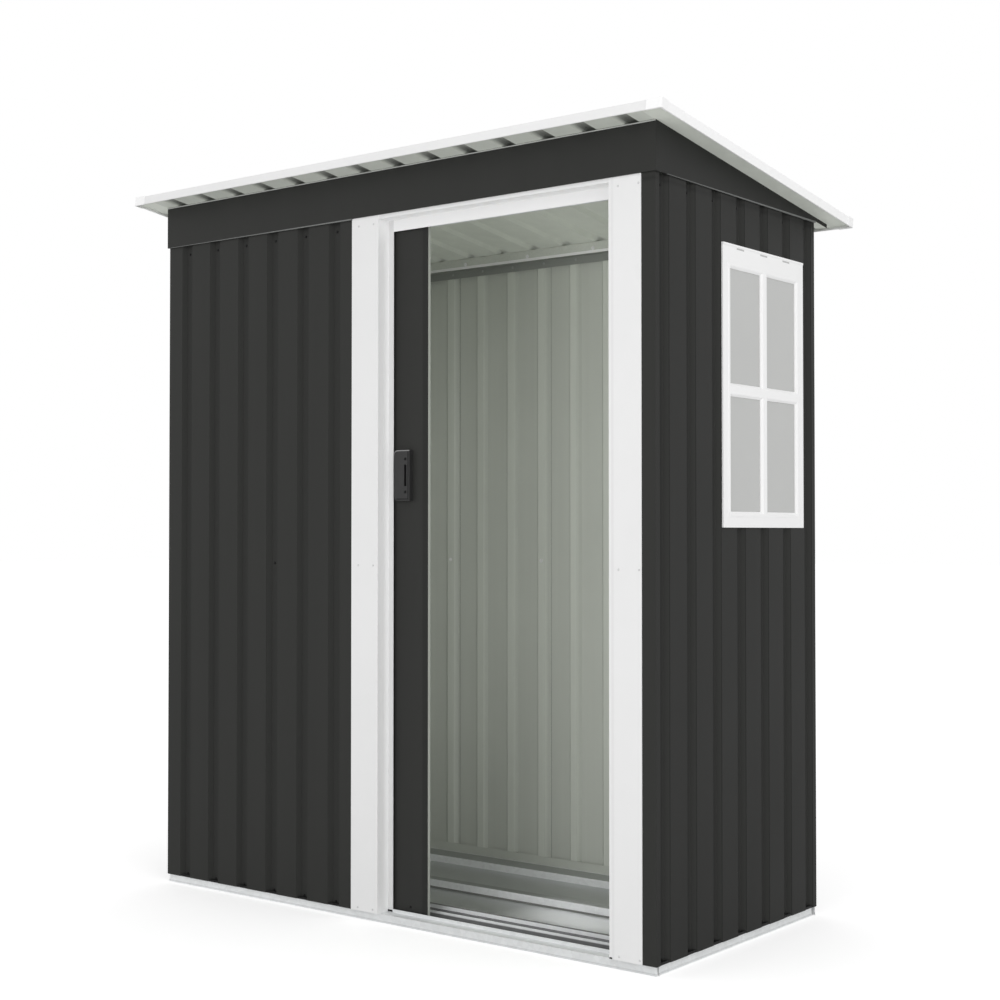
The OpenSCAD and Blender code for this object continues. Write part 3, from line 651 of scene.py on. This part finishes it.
def blocks(name, solids, finish, body):
    """Six-sided solids in one piece.

    A solid is its lower four corners and then its upper four, both turning left as seen from above.
    """
    points, faces = [], []
    for solid in solids:
        n = len(points)
        points.extend(solid)
        faces.extend([
            (n + 3, n + 2, n + 1, n), (n + 4, n + 5, n + 6, n + 7),
            (n, n + 1, n + 5, n + 4), (n + 1, n + 2, n + 6, n + 5),
            (n + 2, n + 3, n + 7, n + 6), (n + 3, n, n + 4, n + 7),
        ])
    mesh = bpy.data.meshes.new(name)
    mesh.from_pydata(points, [], faces)
    mesh.materials.append(finish)
    keep_piece(name, mesh, body)


def rectangle(x0, x1, y0, y1):
    return [(x0, y0), (x1, y0), (x1, y1), (x0, y1)]


def slab(ring, lows, highs):
    """A solid over a ring of four points, with a low and a high Z for each."""
    return [(x, y, z) for levels in (lows, highs) for (x, y), z in zip(ring, levels)]


def prism(ring, low, high):
    return slab(ring, [low] * 4, [high] * 4)


def box(x0, x1, y0, y1, z0, z1):
    return prism(rectangle(x0, x1, y0, y1), z0, z1)


# Places of the small pieces
FRONT_GROOVES = [wall_rib(i) for i in range(6)]
REAR_GROOVES = [wall_rib(i) for i in range(RIBS_ACROSS)]
SIDE_GROOVES = [side_rib(i) for i in range(SIDE_RIBS)]
FRONT_SEAM = wall_rib(3)
REAR_SEAMS = [wall_rib(i) for i in (3, 6, 10)]
LEFT_SEAM = side_rib(3)
GROOVE_FLOOR = 0.010       # how far the grooves' floors lie behind the wall face
SCREW_LOW = 0.028
SCREW_MIDDLE = 0.830
SCREW_TOP = 1.626
POST_PROUD = 0.0012        # how far the posts stand in front of the wall face
POST_SCREW_COLUMNS = (0.673, 0.720, 1.409, 1.460)      # from the left end of the front wall
POST_SCREW_HEIGHTS = (0.028, 0.828, 1.628)
POST_FOOT = 0.0206
ROOF_SCREW_DEPTHS = (0.024, 0.676)
REAR_INSIDE = REAR - 0.012
CLOSURE_FRONT = REAR - 0.0368
CLOSURE_LOW, CLOSURE_HIGH = 1.6404, 1.6612
CLOSURE_NUT_LEVEL = 1.6455
RAIL_SCREW_FACE = REAR - 0.0136
RAIL_SCREW_LEVEL = 1.625
HEADER_REACH = 0.7545      # half the header's length
HEADER_PROUD = 0.0060      # how far the header's top edge stands in front of the wall face
GABLE_EDGES = ((-0.7547, -0.7514), (0.7514, 0.7547))
# height of the dark blocks of painted shade at the grooves' feet
GROOVE_SHADOW_HEIGHT = 0.0055
MARK_RIBS = (3, 4, 5)      # side ribs that pass behind the window
MARK_INNER, MARK_OUTER = 0.7530, 0.7541
MARK_LOW, MARK_HIGH = 1.5290, 1.5326


def post_screws():
    """Small white screws in the posts' flanges."""
    places = []
    for column in POST_SCREW_COLUMNS:
        for z in POST_SCREW_HEIGHTS:
            places.append(((column - HALF_WIDTH, FRONT - POST_PROUD, z), TO_FRONT))
    drive_screws("post_screws", places, WHITE_SCREW, "shed", SMALL_HEAD)


def post_foot_shadows():
    """Dark blocks in the gaps under the left post's return and the right post's flange, painted shadow."""
    left_x, left_y, left_top = (-0.0150, -0.0010), (FRONT + 0.0352, FRONT + 0.0359), 0.0250
    right_x, right_y, right_top = (0.6352, 0.6420), (FRONT - 0.0016, FRONT - 0.0013), 0.0240
    left = box(*left_x, *left_y, POST_FOOT, left_top)
    right = box(*right_x, *right_y, POST_FOOT, right_top)
    blocks("post_foot_shadows", [left, right], DARK_SCREW_AND_SHADE, "shed")


def wall_screws():
    """Dark screws in the grooves: top and bottom of each, and half way up the seams."""
    y = FRONT + GROOVE_FLOOR
    front = [((x, y, z), TO_FRONT) for x in FRONT_GROOVES for z in (SCREW_LOW, SCREW_TOP)]
    front.append(((FRONT_SEAM, y, SCREW_MIDDLE), TO_FRONT))
    y = REAR - GROOVE_FLOOR
    rear = [((x, y, z), TO_REAR) for x in REAR_GROOVES for z in (SCREW_LOW, SCREW_TOP)]
    rear += [((x, y, SCREW_MIDDLE), TO_REAR) for x in REAR_SEAMS]
    wall = HALF_WIDTH - GROOVE_FLOOR
    sides = []
    for x, way in ((-wall, TO_LEFT), (wall, TO_RIGHT)):
        sides += [((x, y, z), way) for y in SIDE_GROOVES for z in (SCREW_LOW, SCREW_TOP)]
    sides.append(((-wall, LEFT_SEAM, SCREW_MIDDLE), TO_LEFT))
    drive_screws("wall_screws", front + rear + sides, DARK_SCREW_AND_SHADE, "shed")


def roof_screws():
    """Washered screws through the roof ribs into the front and rear top rails."""
    places = []
    for depth in ROOF_SCREW_DEPTHS:
        y = FRONT + depth + RIB_HEIGHT * ROOF_UP[1]
        z = roof_under(depth) + RIB_HEIGHT * ROOF_UP[2]
        places += [((roof_rib(i), y, z), ROOF_UP) for i in range(RIBS_ACROSS)]
    drive_screws("roof_screws", places, STEEL_SCREW, "shed", HEX_HEAD)


def inside_screws():
    """Nuts on the inside of the rear wall's seams and on the closure strip over its top rail, in near-white
    grey for their glint: painted highlight.
    """
    wall = [((x, REAR_INSIDE, SCREW_MIDDLE), TO_FRONT) for x in REAR_SEAMS]
    face, shift = CLOSURE_FRONT - 0.0002, 0.027
    strip = [((roof_rib(i + 0.5) + shift, face, CLOSURE_NUT_LEVEL), TO_FRONT) for i in range(1, 12, 2)]
    drive_screws("inside_screws", wall + strip, NUT_PAINTED_GLINT, "shed", SCREW_NUT)


def rail_closure():
    """The thin strip that closes the roof's ribs over the rear top rail."""
    reach, thickness = 0.720, 0.0006
    strip = box(-reach, reach, CLOSURE_FRONT, CLOSURE_FRONT + thickness, CLOSURE_LOW, CLOSURE_HIGH)
    blocks("rail_closure", [strip], CLOSURE_PAINTED_LIGHT, "shed")


def rear_rail_screws():
    """Grey screws along the rear top rail, a little right of the wall's ribs."""
    shift = 0.010
    places = [((wall_rib(i) + shift, RAIL_SCREW_FACE, RAIL_SCREW_LEVEL), TO_FRONT) for i in range(1, 13)]
    drive_screws("rear_rail_screws", places, GREY_SCREW, "shed")


def sheet_edges():
    """The light folded edges that show under the header and the gables, deeper towards one end."""
    top = HEADER_LEVEL + 0.0002
    thin, thick = 0.0006, 0.0030
    end, proud, back = -0.0985, 0.0047, 0.0014
    ring = rectangle(-HEADER_REACH, end, FRONT - proud, FRONT - back)
    solids = [slab(ring, [top - thin, top - thick, top - thick, top - thin], [top] * 4)]
    thin, thick, start = 0.0005, 0.0040, FRONT + 0.040
    for x0, x1 in GABLE_EDGES:
        ring = rectangle(x0, x1, start, REAR)
        solids.append(slab(ring, [top - thin, top - thin, top - thick, top - thick], [top] * 4))
    blocks("sheet_edges", solids, EDGE, "shed")


def header_edge():
    """The light edge along the header's top."""
    clear, height, thickness = 0.0012, 0.0022, 0.0016
    high = roof_under(-HEADER_PROUD) - clear
    face = FRONT - HEADER_PROUD
    edge = box(-HEADER_REACH, HEADER_REACH, face, face + thickness, high - height, high)
    blocks("header_edge", [edge], LIGHT_EDGE, "shed")


def groove_end_shadows():
    """Dark blocks at the foot of the grooves on the base rails, narrower at the groove's floor: painted
    shade where the grooves end.
    """
    wide, narrow = 0.0170, 0.0100
    near, far = 0.0015, 0.0099
    rings = []
    for x in FRONT_GROOVES:
        rings.append([(x - wide, FRONT + near), (x + wide, FRONT + near),
                      (x + narrow, FRONT + far), (x - narrow, FRONT + far)])
    for x in REAR_GROOVES:
        rings.append([(x - narrow, REAR - far), (x + narrow, REAR - far),
                      (x + wide, REAR - near), (x - wide, REAR - near)])
    inner, outer = HALF_WIDTH - far, HALF_WIDTH - near
    for y in SIDE_GROOVES:
        rings.append([(inner, y - narrow), (outer, y - wide), (outer, y + wide), (inner, y + narrow)])
        rings.append([(-outer, y - wide), (-inner, y - narrow), (-inner, y + narrow), (-outer, y + wide)])
    solids = [prism(ring, BASE_HEIGHT, BASE_HEIGHT + GROOVE_SHADOW_HEIGHT) for ring in rings]
    blocks("groove_end_shadows", solids, DARK_SCREW_AND_SHADE, "shed")


def sill_hem_and_bar_shadow():
    """The dark hem on the sill's upstand, and a dark strip at the foot of the cross bar, painted shadow
    where the bar meets the front pan.
    """
    depth, drop, rise, lap = 0.0022, 0.0020, 0.0003, 0.0002
    low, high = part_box("sill_rail")
    hem = box(low[0], high[0], high[1] - depth, high[1] + lap, high[2] - drop, high[2] + rise)
    thickness, seam_low, seam_high = 0.0006, 0.0015, 0.0058
    low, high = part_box("floor_cross_bar")
    foot = box(low[0], high[0], low[1] - thickness, low[1] + lap, seam_low, seam_high)
    blocks("sill_hem_and_bar_shadow", [hem, foot], SEAM_AND_SHADOW_GREY, "shed")


def window_groove_marks():
    """Thin grey marks under the drip edge of the window where the grooves pass behind it."""
    half, shift = 0.016, 0.008
    solids = []
    for i in MARK_RIBS:
        y = side_rib(i) - shift
        solids.append(box(MARK_INNER, MARK_OUTER, y - half, y + half, MARK_LOW, MARK_HIGH))
    blocks("window_groove_marks", solids, MARK_GREY, "shed")


# The handle
HANDLE_FACE = DOOR_FACE - 0.012
TRIM_BACK = HANDLE_FACE + 0.002        # back of the trim sunk in the handle's face
HANDLE_MIDDLE = 1.038
HANDLE_LOW = HANDLE_MIDDLE - 0.059
HANDLE_HIGH = HANDLE_MIDDLE + 0.059
HANDLE_LEFT = 0.006
HANDLE_EDGE = 0.0500       # right side of the handle's solid
HANDLE_RIGHT = 0.0540      # right side with the edge block
HANDLE_CORNER = 0.011      # radius of the upper left corner


def handle_screws():
    """A screw near the handle's top and one near its foot."""
    x, up = 0.041, 0.0385
    places = [((x, HANDLE_FACE, HANDLE_MIDDLE + rise), TO_FRONT) for rise in (up, -up)]
    drive_screws("handle_screws", places, DARK_SCREW_AND_SHADE, "door")


def handle_edge():
    """A block that widens the handle to its real width."""
    edge = box(HANDLE_EDGE, HANDLE_RIGHT, HANDLE_FACE, DOOR_FACE, HANDLE_LOW, HANDLE_HIGH)
    blocks("handle_edge", [edge], BLACK, "door")


def handle_rim_highlight():
    """A light grey strip round the handle's upper left corner and along its top, a painted highlight on the
    rim.
    """
    height, proud, r = 0.0021, 0.0008, HANDLE_CORNER
    turns = [math.radians(18 * i) for i in range(5, -1, -1)]
    path = [(HANDLE_LEFT + r - r * math.sin(a), HANDLE_HIGH - r + r * math.cos(a)) for a in turns]
    path.append((HANDLE_RIGHT, HANDLE_HIGH))
    strips = []
    for (xa, za), (xb, zb) in zip(path, path[1:]):
        highs = [za, zb, zb, za]
        ring = rectangle(xa, xb, HANDLE_FACE - proud, TRIM_BACK)
        strips.append(slab(ring, [z - height for z in highs], highs))
    blocks("handle_rim_highlight", strips, RIM_HIGHLIGHT_GREY, "door")


def handle_groove_shadow():
    """Dark strips in the groove along the handle's right side and foot, painted shade in the groove."""
    front, low, high = HANDLE_FACE - 0.0003, HANDLE_LOW + 0.003, HANDLE_HIGH - 0.003
    side = box(HANDLE_RIGHT - 0.0058, HANDLE_RIGHT - 0.0032, front, TRIM_BACK, low, high)
    foot = box(HANDLE_LEFT + 0.008, HANDLE_RIGHT - 0.0060, front, TRIM_BACK, low, HANDLE_LOW + 0.0052)
    blocks("handle_groove_shadow", [side, foot], DARK_SCREW_AND_SHADE, "door")


def door_rivet():
    """The small rivet at the door's foot."""
    x, z = 0.048, 0.037
    drive_screws("door_rivet", [((x, DOOR_FACE, z), TO_FRONT)], DARK_SCREW_AND_SHADE, "door")


# The studio
FLOOR_SIZE = 80.0
FLOOR_WHITE = (0.86, 0.86, 0.86, 1.0)
FLOOR_GLOW = 0.42          # what the camera sees on top of the lit floor
WORLD_LIGHT = 0.80
WORLD_WHITE = 1.0          # what the camera, metal and panes see
CAMERA_PLACE = (2.56885, -3.20190, 0.90497)
CAMERA_TILT = math.radians(91.136)
CAMERA_TURN = math.radians(38.043)
CAMERA_LENS = 59.13        # millimetres, on a sensor of the next width
CAMERA_SENSOR = 36.0


def studio_floor():
    """A white floor that keeps the shed's shadow."""
    bpy.ops.mesh.primitive_plane_add(size=FLOOR_SIZE, location=(0, 0, 0))
    floor = bpy.context.object
    floor.name = "studio_floor"
    s = Shader("studio_floor")
    diffuse = s.add("ShaderNodeBsdfDiffuse")
    diffuse.inputs["Color"].default_value = FLOOR_WHITE
    glow = s.add("ShaderNodeEmission")
    path = s.add("ShaderNodeLightPath")
    s.wire(s.times(path.outputs["Is Camera Ray"], FLOOR_GLOW), glow.inputs["Strength"])
    both = s.add("ShaderNodeAddShader")
    s.wire(diffuse.outputs[0], both.inputs[0])
    s.wire(glow.outputs[0], both.inputs[1])
    s.wire(both.outputs[0], s.output.inputs["Surface"])
    floor.data.materials.append(s.material)


def studio_world():
    """Even light from all round, and plain white for what is seen."""
    world = bpy.data.worlds.new("studio")
    bpy.context.scene.world = world
    world.use_nodes = True
    tree = world.node_tree
    tree.nodes.clear()
    path = tree.nodes.new("ShaderNodeLightPath")
    seen = path.outputs["Is Camera Ray"]
    for ray in ("Is Glossy Ray", "Is Transmission Ray"):
        most = tree.nodes.new("ShaderNodeMath")
        most.operation = "MAXIMUM"
        tree.links.new(seen, most.inputs[0])
        tree.links.new(path.outputs[ray], most.inputs[1])
        seen = most.outputs[0]
    mix = tree.nodes.new("ShaderNodeMixShader")
    tree.links.new(seen, mix.inputs[0])
    for strength, socket in ((WORLD_LIGHT, mix.inputs[1]), (WORLD_WHITE, mix.inputs[2])):
        sky = tree.nodes.new("ShaderNodeBackground")
        sky.inputs["Color"].default_value = (1, 1, 1, 1)
        sky.inputs["Strength"].default_value = strength
        tree.links.new(sky.outputs[0], socket)
    out = tree.nodes.new("ShaderNodeOutputWorld")
    tree.links.new(mix.outputs[0], out.inputs["Surface"])


def soft_light(name, place, aim, wide, high, watts, spread=180.0):
    """A flat lamp that isn't seen itself. spread is in degrees."""
    lamp = bpy.data.lights.new(name, "AREA")
    lamp.spread = math.radians(spread)
    lamp.shape = "RECTANGLE"
    lamp.size = wide
    lamp.size_y = high
    lamp.energy = watts
    obj = bpy.data.objects.new(name, lamp)
    obj.location = place
    obj.rotation_euler = (Vector(aim) - Vector(place)).to_track_quat("-Z", "Y").to_euler()
    obj.visible_camera = False
    obj.visible_glossy = False
    bpy.context.scene.collection.objects.link(obj)


def studio_lamps():
    """Two lamps in front of the shed and three small ones inside it."""
    soft_light("front_right_light", place=(4.2, -2.6, 2.4), aim=(0.4, 0.0, 0.8),
               wide=1.8, high=1.8, watts=29.5)
    soft_light("front_light", place=(0.9, -4.3, 0.75), aim=(0.0, 0.0, 0.9),
               wide=1.8, high=1.2, watts=27.0)
    soft_light("doorway_light", place=(0.3400, FRONT + 0.120, 0.86), aim=(-0.28, 1.0, 0.90),
               wide=0.46, high=1.40, watts=0.46)
    soft_light("inside_light", place=(-0.38, FRONT + 0.120, 0.90), aim=(-0.36, 1.0, 0.96),
               wide=0.60, high=1.30, watts=0.59)
    soft_light("sill_light", place=(0.36, FRONT + 0.420, 0.46), aim=(0.34, FRONT + 0.285, 0.0),
               wide=0.26, high=0.06, watts=0.62, spread=26.0)


def photo_camera():
    """The camera fitted to the photograph."""
    lens = bpy.data.cameras.new("photo_camera")
    lens.sensor_width = CAMERA_SENSOR
    lens.lens = CAMERA_LENS
    camera = bpy.data.objects.new("photo_camera", lens)
    camera.location = CAMERA_PLACE
    camera.rotation_euler = (CAMERA_TILT, 0.0, CAMERA_TURN)
    bpy.context.scene.collection.objects.link(camera)
    bpy.context.scene.camera = camera


photo_camera()
dress_nodes()
post_screws()
post_foot_shadows()
wall_screws()
roof_screws()
inside_screws()
rail_closure()
rear_rail_screws()
sheet_edges()
header_edge()
groove_end_shadows()
sill_hem_and_bar_shadow()
window_groove_marks()
handle_screws()
handle_edge()
handle_rim_highlight()
handle_groove_shadow()
door_rivet()
studio_floor()
studio_world()
studio_lamps()
bpy.context.scene.view_settings.view_transform = "Standard"
